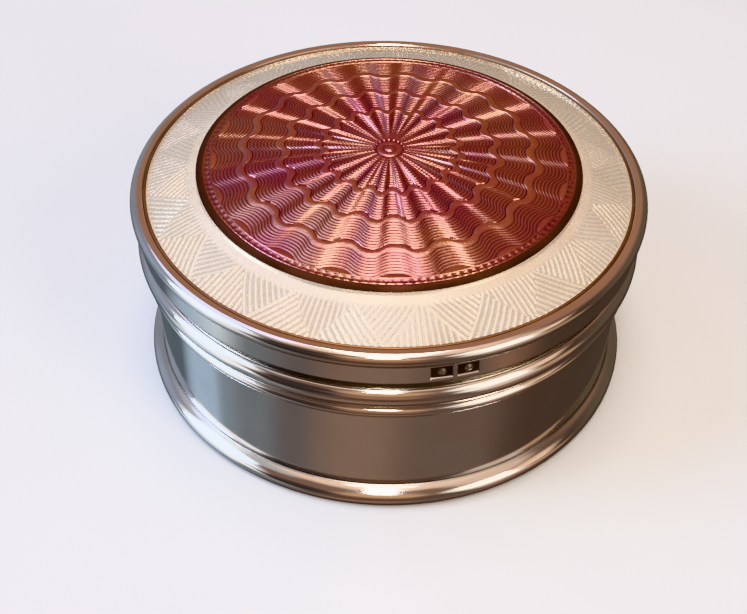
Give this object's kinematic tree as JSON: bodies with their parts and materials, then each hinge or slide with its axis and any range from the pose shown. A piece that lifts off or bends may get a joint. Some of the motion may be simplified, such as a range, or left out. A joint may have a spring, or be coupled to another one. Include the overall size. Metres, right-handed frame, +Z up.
{
  "type": "pill box",
  "caption": "Round silver pill box with a hinged, domed lid, enamelled over engine turning, and round mouldings at the lid, seat and foot.",
  "frame": {"origin": "centre of the foot ring's resting face", "axes": "+Z up along the drum's axis, the hinge at the back on +Y with its pin along X, the front on -Y"},
  "size_m": [0.045, 0.0461, 0.0213],
  "materials": {
    "silver": "polished",
    "hinge_silver": "polished",
    "pin_silver": "satin",
    "gilt": "polished",
    "toned_gilt": "satin",
    "toned_copper": "polished",
    "engraved_silver": "satin",
    "engine_turned_silver": "satin",
    "pale_enamel": "gloss",
    "mauve_enamel": "gloss"
  },
  "bodies": {
    "body": {"body_wall": "silver", "base_plate": "silver", "foot_moulding": "silver", "seat_bead": "silver", "fine_bead": "silver", "inner_collar": "gilt", "body_hinge_bearer": "hinge_silver", "body_knuckle_left": "hinge_silver", "body_knuckle_centre": "hinge_silver", "body_knuckle_right": "hinge_silver", "hinge_pin": "pin_silver"},
    "lid": {"lid_band": "silver", "lid_rim": "silver", "lid_flange": "gilt", "lid_lining": "gilt", "rim_bezel": "toned_gilt", "ring_ground": "engraved_silver", "ring_enamel": "pale_enamel", "centre_collar": "toned_copper", "centre_ground": "engine_turned_silver", "centre_enamel": "mauve_enamel", "lid_hinge_bearer": "hinge_silver", "lid_knuckle_left": "hinge_silver", "lid_knuckle_right": "hinge_silver"}
  },
  "joints": [
    {"name": "lid_hinge", "type": "hinge", "parent": "body", "child": "lid", "pos_m": [0, 0.0226, 0.01507], "axis": [-1, 0, 0], "range_deg": [0, 105]}
  ]
}
